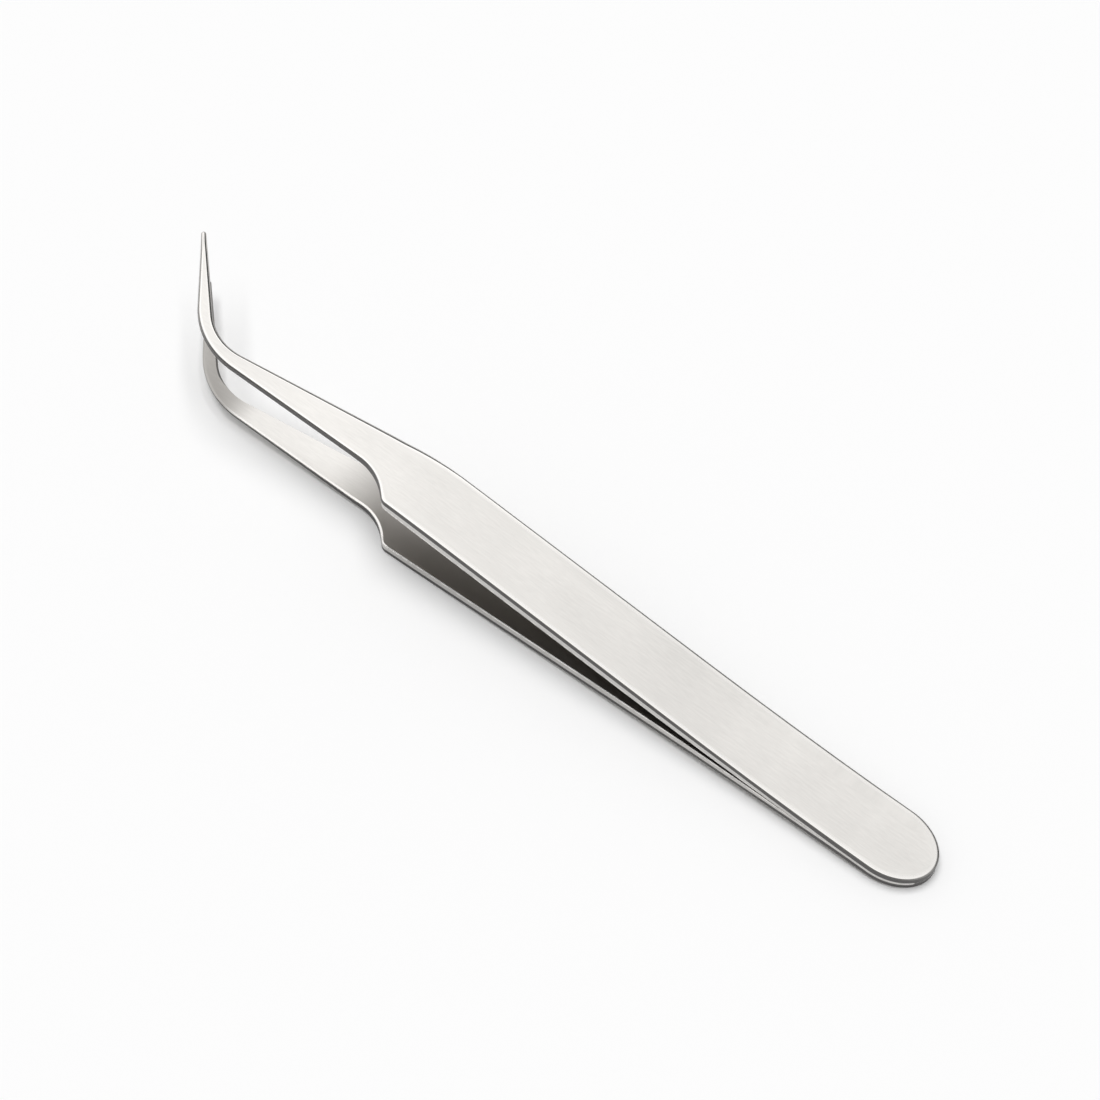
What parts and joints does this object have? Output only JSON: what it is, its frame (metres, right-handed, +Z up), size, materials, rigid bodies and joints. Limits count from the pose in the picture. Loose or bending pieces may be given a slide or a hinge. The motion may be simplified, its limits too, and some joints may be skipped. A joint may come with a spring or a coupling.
{
  "type": "bent-tip precision tweezers",
  "caption": "Slim steel tweezers with a shoulder notch and sharply bent fine tips: two bowed spring leaves joined face to face at the rear.",
  "frame": {"origin": "centre of the bounding box on the surface that the tweezers lie on", "axes": "+X from the welded rear end towards the tips; the tips bend to -Y and the shoulder notch is on the +Y edge; +Z up, away from the surface, with the upper leaf on top"},
  "size_m": [0.1202, 0.0164, 0.014],
  "materials": {
    "steel": "fine satin brushed along the leaf, with bright rounded edges"
  },
  "bodies": {
    "root": {"upper_leaf": "steel", "lower_leaf": "steel"}
  },
  "joints": []
}
